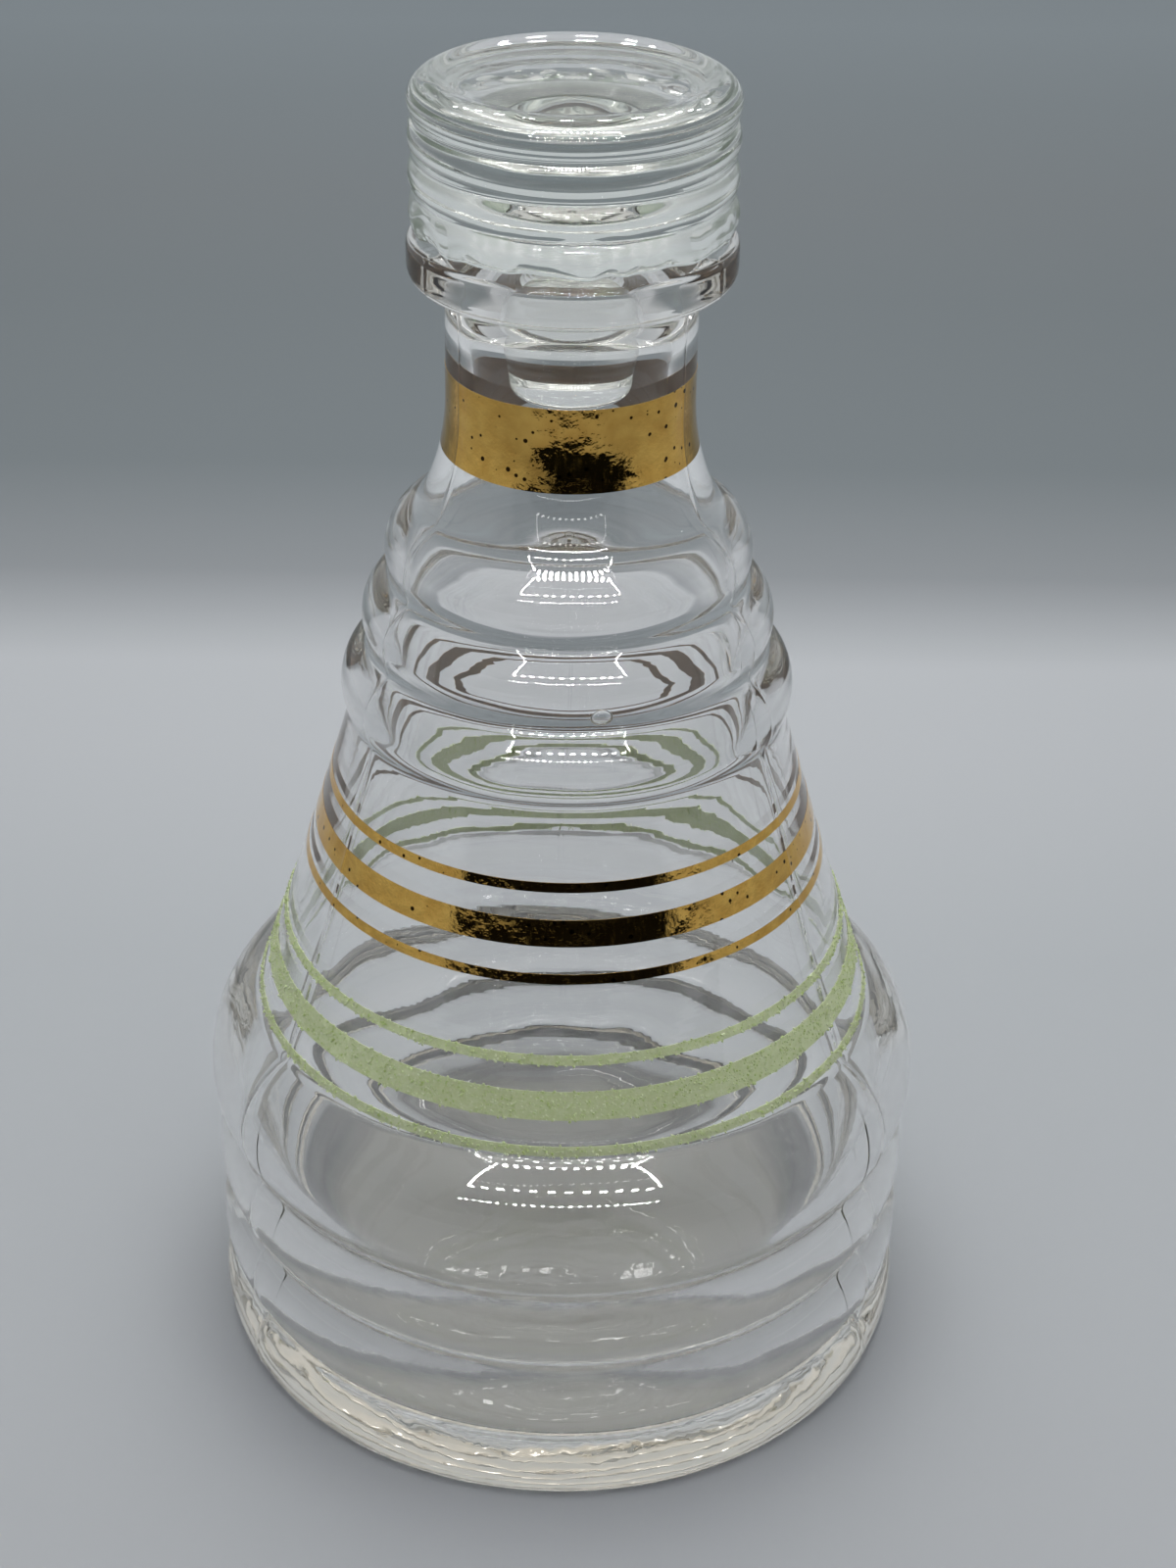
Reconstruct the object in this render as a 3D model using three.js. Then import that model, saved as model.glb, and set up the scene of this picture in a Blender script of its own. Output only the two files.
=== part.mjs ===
import * as THREE from 'three';

// Glass carafe with a loose ribbed stopper, three gilded bands round the cone, one round the
// neck, and three bands of green glass grit at the foot of the cone.
// Millimetres, +Z up. The origin is the middle of the base, on the plane the carafe stands on.

// Flat sides round every turned piece, and stations along the cone and the neck's flare, which
// are close enough together for the layers on them to lie flat
const SIDES = 48;
const CONE_STATIONS = 8;
const FLARE_STATIONS = 8;

// Base and hollow
const HEEL_RADIUS = 1.8;
const HEEL_INSET = 0.45;
const BEARING_WIDTH = 7.0;
const PUNT_RISE = 4.0;
const FLOOR_THICKNESS = 5.0;
const FLOOR_CORNER_RADIUS = 7.0;
const BODY_WALL = 3.4;

// Ringed lower body: crests and the grooves between them
const BODY_CREST_RADIUS = 59.7;
const BODY_GROOVE_DEPTH = 2.7;
const FOOT_RING_HEIGHT = 12.0;
const BODY_RING_HEIGHT = 14.4;
const BODY_RING_COUNT = 2;

// Shoulder bulge between the top groove and the foot of the cone
const SHOULDER_OVERHANG = 0.5;
const SHOULDER_CREST_RISE = 7.4;
const SHOULDER_HEIGHT = 23.2;
const SHOULDER_SET_IN = 8.55;

// Cone, hollowed a little between its ends
const CONE_TOP_RADIUS = 34.9;
const CONE_HEIGHT = 53.6;
const CONE_HOLLOW = 0.38;
const CONE_WALL = 3.3;

// Stepped rings above the cone, from the lowest: their heights, how far each crest swells beyond
// the groove under it, and how far in the groove above it lies between the cone's top and the neck
const STEP_HEIGHTS = [12.2, 11.2, 12.0];
const STEP_SWELLS = [1.3, 1.5, 1.2];
const STEP_WAYS_IN = [0.233, 0.46, 0.72];
const STEP_WALL = 3.6;

// Neck and lip, sized round the stopper's plug
const THROAT_WIDENING = 4.5;
const THROAT_HEIGHT = 6.0;
const NECK_WALL = 4.4;
const NECK_FLARE_HEIGHT = 18.0;
const NECK_HEIGHT = 18.5;
const LIP_OVERHANG = 5.65;
const LIP_EDGE_DEPTH = 1.3;
const LIP_HEIGHT = 6.9;
const MOUTH_CHAMFER = 1.0;

// Stopper
const PLUG_RADIUS = 9.8;
const PLUG_TAPER = 0.5;
const PLUG_LENGTH = 25.5;
const PLUG_EDGE_RADIUS = 1.6;
const PLUG_CLEARANCE = 0.35;
const HEAD_STAND_OFF = 1.2;
const HEAD_RADIUS = 24.3;
const HEAD_GROOVE_DEPTH = 0.9;
const HEAD_SEAT_INSET = 0.9;
const HEAD_RIB_HEIGHTS = [5.4, 5.5, 6.0, 5.0];
const HEAD_TOP_INSET = 1.9;
const HEAD_RIM_WIDTH = 3.9;
const HEAD_RIM_RISE = 0.5;
const HEAD_DISH_DEPTH = 0.9;
const HEAD_DISH_SLOPE = 1.8;

// Gilding: a skin far thinner on the real glass, given a thickness that can be made
const GOLD_THICKNESS = 0.2;
const NECK_BAND_LOW = -7.9;
const NECK_BAND_STATIONS = 4;
const NECK_BAND_HEIGHT = 13.0;
const GOLD_CENTRE_SHARE = 0.652;
const GOLD_WIDE = 4.1;
const GOLD_NARROW = 1.5;
const GOLD_SPACING = 4.2;

// Green grit, laid from the foot of the cone upwards
const GRIT_THICKNESS = 0.5;
const GRIT_FOOT_MARGIN = 0.5;
const GRIT_NARROW = 1.9;
const GRIT_WIDE = 4.8;
const GRIT_SPACING = 3.7;

// Thin bond line between each layer and the glass under it
const BOND_GAP = 0.05;

// Radii that follow from the sizes above
const BODY_GROOVE_RADIUS = BODY_CREST_RADIUS - BODY_GROOVE_DEPTH;
const SHOULDER_RADIUS = BODY_CREST_RADIUS + SHOULDER_OVERHANG;
const CONE_FOOT_RADIUS = SHOULDER_RADIUS - SHOULDER_SET_IN;
const MOUTH_RADIUS = PLUG_RADIUS + PLUG_CLEARANCE;
const BORE_RADIUS = MOUTH_RADIUS + THROAT_WIDENING;
const NECK_RADIUS = BORE_RADIUS + NECK_WALL;
const LIP_RADIUS = NECK_RADIUS + LIP_OVERHANG;

// Heights, worked out from the base upwards
const SHOULDER_FOOT = FOOT_RING_HEIGHT + BODY_RING_COUNT * BODY_RING_HEIGHT;
const CONE_FOOT = SHOULDER_FOOT + SHOULDER_HEIGHT;
const CONE_TOP = CONE_FOOT + CONE_HEIGHT;
const STEPS_TOP = STEP_HEIGHTS.reduce((height, rise) => height + rise, CONE_TOP);
const NECK_FOOT = STEPS_TOP + NECK_FLARE_HEIGHT;
const LIP_FOOT = NECK_FOOT + NECK_HEIGHT;
const LIP_TOP = LIP_FOOT + LIP_HEIGHT;
const HEAD_FOOT = LIP_TOP + HEAD_STAND_OFF;

const point = (radius, height) => new THREE.Vector2(radius, height);

// Points along the circle through three points, from the first to the last
function arcThrough(start, middle, end, steps) {
  const [a, b, c] = [start, middle, end];
  const cross = 2 * (a.x * (b.y - c.y) + b.x * (c.y - a.y) + c.x * (a.y - b.y));
  const centre = point(
    (a.lengthSq() * (b.y - c.y) + b.lengthSq() * (c.y - a.y) + c.lengthSq() * (a.y - b.y)) / cross,
    (a.lengthSq() * (c.x - b.x) + b.lengthSq() * (a.x - c.x) + c.lengthSq() * (b.x - a.x)) / cross,
  );
  const angleOf = (p) => Math.atan2(p.y - centre.y, p.x - centre.x);
  const shortTurn = (turn) => Math.atan2(Math.sin(turn), Math.cos(turn));
  const first = angleOf(a);
  const sweep = shortTurn(angleOf(b) - first) + shortTurn(angleOf(c) - angleOf(b));
  const radius = centre.distanceTo(a);
  return Array.from({ length: steps + 1 }, (_, step) => {
    const angle = first + (sweep * step) / steps;
    return point(centre.x + radius * Math.cos(angle), centre.y + radius * Math.sin(angle));
  });
}

// Points along the circle that leaves the start straight up or down and reaches the end
function arcLeavingVertically(start, end, steps) {
  const across = Math.abs(end.x - start.x);
  const along = Math.abs(end.y - start.y);
  const radius = (across ** 2 + along ** 2) / (2 * across);
  const halfTurn = Math.atan2(along, radius - across) / 2;
  const middle = point(
    start.x + Math.sign(end.x - start.x) * radius * (1 - Math.cos(halfTurn)),
    start.y + Math.sign(end.y - start.y) * radius * Math.sin(halfTurn),
  );
  return arcThrough(start, middle, end, steps);
}

// A rounded ring between two grooves, with its crest at half height
function ringArc(low, crestRadius, high, steps) {
  return arcThrough(low, point(crestRadius, (low.y + high.y) / 2), high, steps);
}

// The top of the cone, and the groove above each stepped ring
function stepGrooves() {
  const grooves = [point(CONE_TOP_RADIUS, CONE_TOP)];
  STEP_HEIGHTS.forEach((rise, ring) => {
    const radius = THREE.MathUtils.lerp(CONE_TOP_RADIUS, NECK_RADIUS, STEP_WAYS_IN[ring]);
    grooves.push(point(radius, grooves[ring].y + rise));
  });
  return grooves;
}

// The groove that the neck's flare stands on
function flareFoot() {
  return stepGrooves().at(-1);
}

function coneRadius(height) {
  const share = (height - CONE_FOOT) / CONE_HEIGHT;
  const straight = THREE.MathUtils.lerp(CONE_FOOT_RADIUS, CONE_TOP_RADIUS, share);
  return straight - CONE_HOLLOW * 4 * share * (1 - share);
}

// Height of the shallow dome under the base
function puntHeight(radius, rim) {
  return PUNT_RISE * (1 - (radius / rim) ** 2);
}

// Turns a profile of radius and height round the Z axis
function turned(profile) {
  const geometry = new THREE.LatheGeometry(profile, SIDES);
  geometry.rotateX(Math.PI / 2);
  return geometry;
}

// Turned pieces share the sides of the glass under them, so a layer lies flat on it
function namedMesh(name, profile, material) {
  const mesh = new THREE.Mesh(turned(profile), material);
  mesh.name = name;
  return mesh;
}

// Outside of the bottle, from the table up to the top of the lip
function bottleOutside() {
  const heelTop = point(BODY_CREST_RADIUS - HEEL_INSET, HEEL_RADIUS);
  const bearingEdge = point(heelTop.x - HEEL_RADIUS, 0);
  const heelMiddle = point(
    bearingEdge.x + HEEL_RADIUS * Math.SQRT1_2,
    HEEL_RADIUS * (1 - Math.SQRT1_2),
  );
  const outline = arcThrough(bearingEdge, heelMiddle, heelTop, 3);
  let groove = point(BODY_GROOVE_RADIUS, FOOT_RING_HEIGHT);
  outline.push(...ringArc(heelTop, BODY_CREST_RADIUS, groove, 5).slice(1));
  for (let ring = 0; ring < BODY_RING_COUNT; ring += 1) {
    const next = point(BODY_GROOVE_RADIUS, groove.y + BODY_RING_HEIGHT);
    outline.push(...ringArc(groove, BODY_CREST_RADIUS, next, 5).slice(1));
    groove = next;
  }
  const shoulderCrest = point(SHOULDER_RADIUS, SHOULDER_FOOT + SHOULDER_CREST_RISE);
  outline.push(...arcThrough(groove, shoulderCrest, point(CONE_FOOT_RADIUS, CONE_FOOT), 8).slice(1));
  for (let station = 1; station <= CONE_STATIONS; station += 1) {
    const height = CONE_FOOT + (station / CONE_STATIONS) * CONE_HEIGHT;
    outline.push(point(coneRadius(height), height));
  }
  const grooves = stepGrooves();
  STEP_SWELLS.forEach((swell, ring) => {
    const low = grooves[ring];
    outline.push(...ringArc(low, low.x + swell, grooves[ring + 1], 5).slice(1));
  });
  const neckFoot = point(NECK_RADIUS, NECK_FOOT);
  outline.push(...arcLeavingVertically(neckFoot, flareFoot(), FLARE_STATIONS).reverse().slice(1));
  outline.push(point(NECK_RADIUS, LIP_FOOT));
  const lipLow = point(LIP_RADIUS - LIP_EDGE_DEPTH, LIP_FOOT);
  const lipHigh = point(LIP_RADIUS - LIP_EDGE_DEPTH, LIP_TOP);
  outline.push(...ringArc(lipLow, LIP_RADIUS, lipHigh, 6));
  return outline;
}

// Inside of the bottle, from the mouth down to the middle of the floor
function bottleInside() {
  const bodyRadius = BODY_GROOVE_RADIUS - BODY_WALL;
  const inside = [
    point(MOUTH_RADIUS + MOUTH_CHAMFER, LIP_TOP),
    point(MOUTH_RADIUS, LIP_TOP - MOUTH_CHAMFER),
    point(MOUTH_RADIUS, LIP_FOOT),
    point(BORE_RADIUS, LIP_FOOT - THROAT_HEIGHT),
  ];
  const [topGroove, ...lowerGrooves] = stepGrooves()
    .slice(1)
    .reverse()
    .map((groove) => point(groove.x - STEP_WALL, groove.y));
  inside.push(...arcLeavingVertically(point(BORE_RADIUS, NECK_FOOT), topGroove, 4));
  inside.push(...lowerGrooves);
  inside.push(point(CONE_TOP_RADIUS - CONE_WALL, CONE_TOP));
  inside.push(point(coneRadius(CONE_FOOT + CONE_HEIGHT / 2) - CONE_WALL, CONE_FOOT + CONE_HEIGHT / 2));
  const shoulderTop = point(CONE_FOOT_RADIUS - CONE_WALL, CONE_FOOT);
  const shoulderCrest = point(SHOULDER_RADIUS - BODY_WALL, SHOULDER_FOOT + SHOULDER_CREST_RISE);
  const shoulderFoot = point(bodyRadius, SHOULDER_FOOT);
  inside.push(...arcThrough(shoulderTop, shoulderCrest, shoulderFoot, 6));
  const floorEdge = bodyRadius - FLOOR_CORNER_RADIUS;
  const floorHeight = puntHeight(floorEdge, bodyRadius) + FLOOR_THICKNESS;
  const cornerTop = point(bodyRadius, floorHeight + FLOOR_CORNER_RADIUS);
  inside.push(...arcLeavingVertically(cornerTop, point(floorEdge, floorHeight), 4));
  inside.push(point(floorEdge / 2, puntHeight(floorEdge / 2, bodyRadius) + FLOOR_THICKNESS));
  inside.push(point(0, PUNT_RISE + FLOOR_THICKNESS));
  return inside;
}

function bottleProfile() {
  const outside = bottleOutside();
  const puntRim = outside[0].x - BEARING_WIDTH;
  const underside = [0, 0.4, 0.75, 1].map((share) => point(share * puntRim, puntHeight(share, 1)));
  return [...underside, ...outside, ...bottleInside()];
}

// Stopper from the middle of the plug's end, out and up to the middle of its top
function stopperProfile() {
  const plugFoot = HEAD_FOOT - PLUG_LENGTH;
  const plugEndRadius = PLUG_RADIUS - PLUG_TAPER;
  const edgeStart = point(plugEndRadius - PLUG_EDGE_RADIUS, plugFoot);
  const edgeMiddle = point(
    plugEndRadius - PLUG_EDGE_RADIUS * (1 - Math.SQRT1_2),
    plugFoot + PLUG_EDGE_RADIUS * (1 - Math.SQRT1_2),
  );
  const edgeEnd = point(plugEndRadius, plugFoot + PLUG_EDGE_RADIUS);
  const outline = [point(0, plugFoot), ...arcThrough(edgeStart, edgeMiddle, edgeEnd, 4)];
  outline.push(point(PLUG_RADIUS, HEAD_FOOT));
  const grooveRadius = HEAD_RADIUS - HEAD_GROOVE_DEPTH;
  let groove = point(HEAD_RADIUS - HEAD_SEAT_INSET, HEAD_FOOT);
  outline.push(groove);
  HEAD_RIB_HEIGHTS.forEach((height, rib) => {
    const last = rib === HEAD_RIB_HEIGHTS.length - 1;
    const radius = last ? HEAD_RADIUS - HEAD_TOP_INSET : grooveRadius;
    const next = point(radius, groove.y + height);
    outline.push(...ringArc(groove, HEAD_RADIUS, next, 4).slice(1));
    groove = next;
  });
  const dishRadius = groove.x - HEAD_RIM_WIDTH;
  const rimCrest = point(groove.x - HEAD_RIM_WIDTH / 2, groove.y + HEAD_RIM_RISE);
  outline.push(...arcThrough(groove, rimCrest, point(dishRadius, groove.y), 4).slice(1));
  outline.push(point(dishRadius - HEAD_DISH_SLOPE, rimCrest.y - HEAD_DISH_DEPTH));
  outline.push(point(0, rimCrest.y - HEAD_DISH_DEPTH));
  return outline;
}

// A layer of even thickness on a surface given as radius against height, through the given heights
function layerProfile(surfaceRadius, heights, thickness) {
  const inner = heights.map((height) => point(surfaceRadius(height) + BOND_GAP, height));
  const outer = heights.map((height) => point(surfaceRadius(height) + BOND_GAP + thickness, height));
  return [...outer, ...inner.reverse(), outer[0]];
}

// Radius of the straight neck and of the flare under it
function neckRadius(height) {
  const across = flareFoot().x - NECK_RADIUS;
  const radius = (across ** 2 + NECK_FLARE_HEIGHT ** 2) / (2 * across);
  const below = Math.max(0, NECK_FOOT - height);
  return NECK_RADIUS + radius - Math.sqrt(radius ** 2 - below ** 2);
}

const bottleGlass = new THREE.MeshStandardMaterial({ color: '#e6ece8', roughness: 0.04, metalness: 0 });
const stopperGlass = new THREE.MeshStandardMaterial({ color: '#e2ebe4', roughness: 0.05, metalness: 0 });

function gilding() {
  return new THREE.MeshStandardMaterial({ color: '#b08a3c', roughness: 0.15, metalness: 1 });
}

function greenGrit() {
  return new THREE.MeshStandardMaterial({ color: '#8f9f62', roughness: 0.85, metalness: 0 });
}

// Gilding that follows the flare in steps and then stands straight on the neck
function neckBand() {
  const low = NECK_FOOT + NECK_BAND_LOW;
  const heights = Array.from(
    { length: NECK_BAND_STATIONS + 1 },
    (_, station) => THREE.MathUtils.lerp(low, NECK_FOOT, station / NECK_BAND_STATIONS),
  );
  heights.push(low + NECK_BAND_HEIGHT);
  return namedMesh('neck_gold_band', layerProfile(neckRadius, heights, GOLD_THICKNESS), gilding());
}

// A narrow, a wide and a narrow band, evenly spaced upwards from a height on the cone
function bandsOnCone(names, foot, narrow, wide, spacing, thickness, makeMaterial) {
  let low = foot;
  return names.map((name, place) => {
    const high = low + (place === 1 ? wide : narrow);
    const mesh = namedMesh(name, layerProfile(coneRadius, [low, high], thickness), makeMaterial());
    low = high + spacing;
    return mesh;
  });
}

const goldFoot = CONE_FOOT + GOLD_CENTRE_SHARE * CONE_HEIGHT - GOLD_WIDE / 2 - GOLD_SPACING - GOLD_NARROW;
const goldNames = ['shoulder_gold_band_lower', 'shoulder_gold_band_middle', 'shoulder_gold_band_upper'];
const gritNames = ['green_band_lower', 'green_band_middle', 'green_band_upper'];

const carafe = new THREE.Group();
carafe.add(namedMesh('bottle', bottleProfile(), bottleGlass));
carafe.add(namedMesh('stopper', stopperProfile(), stopperGlass));
carafe.add(neckBand());
carafe.add(...bandsOnCone(goldNames, goldFoot, GOLD_NARROW, GOLD_WIDE, GOLD_SPACING, GOLD_THICKNESS, gilding));
carafe.add(
  ...bandsOnCone(
    gritNames, CONE_FOOT + GRIT_FOOT_MARGIN, GRIT_NARROW, GRIT_WIDE, GRIT_SPACING, GRIT_THICKNESS, greenGrit,
  ),
);

export default carafe;
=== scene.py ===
"""Looks of a glass carafe with a loose ribbed stopper, gilded bands and bands of green glass grit."""

import math
import random

import bmesh
import bpy
from mathutils import Euler, Matrix, Vector, noise


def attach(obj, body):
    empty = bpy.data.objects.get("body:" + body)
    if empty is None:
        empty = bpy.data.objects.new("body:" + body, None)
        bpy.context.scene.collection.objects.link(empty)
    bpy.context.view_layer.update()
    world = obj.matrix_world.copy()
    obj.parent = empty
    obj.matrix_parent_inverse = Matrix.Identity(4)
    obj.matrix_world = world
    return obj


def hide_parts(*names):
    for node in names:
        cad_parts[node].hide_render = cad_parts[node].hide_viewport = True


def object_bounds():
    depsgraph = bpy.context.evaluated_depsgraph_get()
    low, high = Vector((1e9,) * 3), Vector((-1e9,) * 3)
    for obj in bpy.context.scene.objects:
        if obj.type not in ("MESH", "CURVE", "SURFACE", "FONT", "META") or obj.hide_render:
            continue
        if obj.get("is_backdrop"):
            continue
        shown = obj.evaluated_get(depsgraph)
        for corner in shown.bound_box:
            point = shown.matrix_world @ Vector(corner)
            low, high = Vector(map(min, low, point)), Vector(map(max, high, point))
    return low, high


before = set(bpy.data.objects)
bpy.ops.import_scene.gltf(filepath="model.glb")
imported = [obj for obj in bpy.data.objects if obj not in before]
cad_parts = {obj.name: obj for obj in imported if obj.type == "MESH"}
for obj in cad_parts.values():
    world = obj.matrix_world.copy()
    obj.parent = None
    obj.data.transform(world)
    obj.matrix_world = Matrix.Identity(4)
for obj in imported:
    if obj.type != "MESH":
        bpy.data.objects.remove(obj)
cad_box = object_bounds()

# Sizes below are millimetres, and azimuths are degrees from the front, positive to the right
MM = 0.001

# Base and hollow of the bottle
HEEL_RADIUS = 1.8
HEEL_INSET = 0.45
BEARING_WIDTH = 7.0
PUNT_RISE = 4.0
FLOOR_THICKNESS = 7.0
FLOOR_CORNER_WIDTH = 5.0
FLOOR_CORNER_HEIGHT = 5.5
BODY_WALL = 3.4

# Ringed lower body and the shoulder above it
BODY_CREST_RADIUS = 59.7
BODY_GROOVE_RADIUS = 57.0
FOOT_RING_HEIGHT = 12.0
BODY_RING_HEIGHT = 14.4
BODY_RING_COUNT = 2
SHOULDER_RADIUS = 60.2
SHOULDER_CREST_RISE = 7.4
SHOULDER_HEIGHT = 23.2

# Cone, and the stepped rings above it, each with its height, its crest and the groove over it
CONE_FOOT_RADIUS = 51.65
CONE_TOP_RADIUS = 34.9
CONE_HEIGHT = 53.6
CONE_HOLLOW = 0.38
CONE_WALL = 3.3
STEP_RINGS = ((12.2, 36.2, 31.21), (11.2, 32.71, 27.61), (12.0, 28.81, 23.49))
STEP_TOP_WALL = 1.9

# Neck, lip and mouth
NECK_RADIUS = 19.05
NECK_WALL = 4.4
NECK_FLARE_HEIGHT = 18.0
NECK_HEIGHT = 18.5
LIP_RADIUS = 24.7
LIP_HEIGHT = 6.9
LIP_LOWER_EDGE = 2.5
LIP_UPPER_EDGE = 1.2
MOUTH_RADIUS = 10.15
MOUTH_CHAMFER = 1.0
THROAT_DEPTH = 4.0
THROAT_HEIGHT = 2.0

# Stopper
HEAD_STAND_OFF = 1.2
PLUG_RADIUS = 9.8
PLUG_TAPER = 0.5
PLUG_LENGTH = 25.5
PLUG_EDGE_RADIUS = 1.6
HEAD_RADIUS = 24.3
HEAD_GROOVE_DEPTH = 0.9
HEAD_SEAT_INSET = 0.9
SEAT_RADIUS = 16.0
SEAT_DEPTH = 0.7
HEAD_RIB_HEIGHTS = (5.4, 5.5, 6.0, 5.0)
HEAD_TOP_INSET = 1.9
HEAD_RIM_WIDTH = 3.9
HEAD_RIM_RISE = 0.5
HEAD_DISH_DEPTH = 0.9
HEAD_DISH_SLOPE = 1.8

# Bands on the glass, each with its lower and upper edge
NECK_GOLD = (163.1, 176.1)
CONE_GOLD = {
    "shoulder_gold_band_lower": (91.2, 92.7),
    "shoulder_gold_band_middle": (96.9, 101.0),
    "shoulder_gold_band_upper": (105.2, 106.7),
}
GREEN_GRIT = {
    "green_band_lower": (64.5, 66.4),
    "green_band_middle": (70.1, 74.9),
    "green_band_upper": (78.6, 80.5),
}
GOLD_HALF_THICKNESS = 0.04
GOLD_EDGE_ANGLE = 0.5
GRIT_BED = (0.03, 0.13)
GRIT_EDGE = 0.2
GRAIN_SIZE = 0.42
GRAINS_PER_SQUARE_MM = 2.6
GRAIN_PATCHES = (10.0, 15.0, 24.0)

# Three-part mould: where its seams run, how wide and how proud they are
SEAM_AZIMUTHS = (-60.0, 62.0, 180.0)
SEAM_WIDTH = 1.6
SEAM_RISE = 0.16
SEAM_STEPS = 6
SEAM_FADE = 0.7

# Steps round the bottle and the stopper, gaps between the points of their outlines, rounds of easing
SIDES = 200
STOPPER_SIDES = 180
RING_GAP = 0.6
STEP_GAP = 0.8
NECK_GAP = 2.0
LIP_GAP = 0.5
LIP_FILLET = 4.0
INSIDE_GAP = 1.7
STOPPER_GAP = 0.4
STEP_EASING = 6
INSIDE_EASING = 3

# How much of each outer ring the blown inside repeats, and the waves left in its wall
STEP_RING_REPEAT = 0.98
INNER_WAVE_LENGTH = 24.0
INNER_WAVE = 0.4
INNER_WAVE_FADE = 18.0
FINER_WAVE = 2.7
FINER_WAVE_SHARE = 0.25
CHILL_LENGTH = 2.2
CHILL_WIDTH = 5.0
CHILL = 0.03
OUTER_WAVE_LENGTH = 18.0
OUTER_WAVE = 0.04
STOPPER_WAVE_LENGTH = 9.0
STOPPER_WAVE = 0.04

# Crinkles round the foot of the stopper's head and on the end of its plug
CRINKLE_LENGTH = 3.2
CRINKLE_SQUEEZE = 0.3
CRINKLE = 0.7
CRINKLE_RISE = 0.6
CRINKLE_REACH = 6.0
CRINKLED_FROM = 18.0
CRINKLED_FULLY = 21.0
PLUG_CRINKLE = 0.05
PLUG_CRINKLE_REACH = 3.0

# Air caught in the wall: azimuth, height, radius, and half sizes round, up and in, then small seeds
BLISTER = (9.7, 131.8, 31.01, (1.7, 1.4, 0.6))
SEED_COUNT = 14
SEED_SIZE = (0.15, 0.4)
SEED_DEPTH = 0.8
SEED_STRETCH = 1.6

# Heights up the bottle
SHOULDER_FOOT = FOOT_RING_HEIGHT + BODY_RING_COUNT * BODY_RING_HEIGHT
CONE_FOOT = SHOULDER_FOOT + SHOULDER_HEIGHT
CONE_TOP = CONE_FOOT + CONE_HEIGHT
STEPS_TOP = CONE_TOP + sum(height for height, _, _ in STEP_RINGS)
NECK_FOOT = STEPS_TOP + NECK_FLARE_HEIGHT
LIP_FOOT = NECK_FOOT + NECK_HEIGHT
LIP_TOP = LIP_FOOT + LIP_HEIGHT
HEAD_FOOT = LIP_TOP + HEAD_STAND_OFF
THROAT_TOP = LIP_FOOT - THROAT_DEPTH
THROAT_FOOT = THROAT_TOP - THROAT_HEIGHT
BORE_RADIUS = NECK_RADIUS - NECK_WALL
FLARE_RADIUS = STEP_RINGS[-1][2]


# Outlines, as points of radius and height

def point(radius, height):
    return Vector((radius, height))


def arc(start, middle, end, steps=24):
    """Points along the circle through three points, from the first to the last."""
    a, b, c = start, middle, end
    cross = 2 * (a.x * (b.y - c.y) + b.x * (c.y - a.y) + c.x * (a.y - b.y))
    sa, sb, sc = a.length_squared, b.length_squared, c.length_squared
    centre = point(
        (sa * (b.y - c.y) + sb * (c.y - a.y) + sc * (a.y - b.y)) / cross,
        (sa * (c.x - b.x) + sb * (a.x - c.x) + sc * (b.x - a.x)) / cross,
    )
    spokes = [p - centre for p in (a, b, c)]
    turn = -spokes[0].angle_signed(spokes[1]) - spokes[1].angle_signed(spokes[2])
    return [centre + Matrix.Rotation(turn * i / steps, 2) @ spokes[0] for i in range(steps + 1)]


def arc_leaving_upright(start, end):
    """Points along the circle that leaves the start straight up or down and reaches the end."""
    across = abs(end.x - start.x)
    along = abs(end.y - start.y)
    radius = (across**2 + along**2) / (2 * across)
    half = math.atan2(along, radius - across) / 2
    middle = point(
        start.x + math.copysign(radius * (1 - math.cos(half)), end.x - start.x),
        start.y + math.copysign(radius * math.sin(half), end.y - start.y),
    )
    return arc(start, middle, end)


def ring(low, crest, high):
    """A rounded ring between two grooves, with its crest at half height."""
    return arc(low, point(crest, (low.y + high.y) / 2), high)


def quarter(start, corner, end):
    """A quarter circle that rounds off a square corner."""
    centre = start + end - corner
    return arc(start, centre + (corner - centre) * math.sqrt(0.5), end, 10)


def spaced(outline, gap):
    """The same outline with its points an even gap apart."""
    lengths = [0.0]
    for before, after in zip(outline, outline[1:]):
        lengths.append(lengths[-1] + (after - before).length)
    count = max(1, round(lengths[-1] / gap))
    result = []
    place = 0
    for i in range(count + 1):
        target = lengths[-1] * i / count
        while place < len(outline) - 2 and lengths[place + 1] < target:
            place += 1
        span = lengths[place + 1] - lengths[place]
        share = (target - lengths[place]) / span if span else 0.0
        result.append(outline[place].lerp(outline[place + 1], min(1.0, share)))
    return result


def softened(outline, rounds):
    """The outline with its corners eased, as fire-polished glass has them. The ends stay."""
    for _ in range(rounds):
        middles = [
            (before + 2 * here + after) / 4
            for before, here, after in zip(outline, outline[1:], outline[2:])
        ]
        outline = [outline[0], *middles, outline[-1]]
    return outline


def cone_radius(height):
    share = (height - CONE_FOOT) / CONE_HEIGHT
    straight = CONE_FOOT_RADIUS + (CONE_TOP_RADIUS - CONE_FOOT_RADIUS) * share
    return straight - CONE_HOLLOW * 4 * share * (1 - share)


def neck_radius(height):
    """The straight neck, and the flare that it stands on."""
    across = FLARE_RADIUS - NECK_RADIUS
    radius = (across**2 + NECK_FLARE_HEIGHT**2) / (2 * across)
    below = max(0.0, NECK_FOOT - height)
    return NECK_RADIUS + radius - math.sqrt(radius**2 - below**2)


def floor_height(radius, rim):
    """Height of the shallow dome under the base."""
    return PUNT_RISE * (1 - (radius / rim) ** 2)


def step_grooves():
    """The foot of the lowest stepped ring, and the groove over each ring."""
    grooves = [point(CONE_TOP_RADIUS, CONE_TOP)]
    for height, _, groove in STEP_RINGS:
        grooves.append(point(groove, grooves[-1].y + height))
    return grooves


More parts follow.
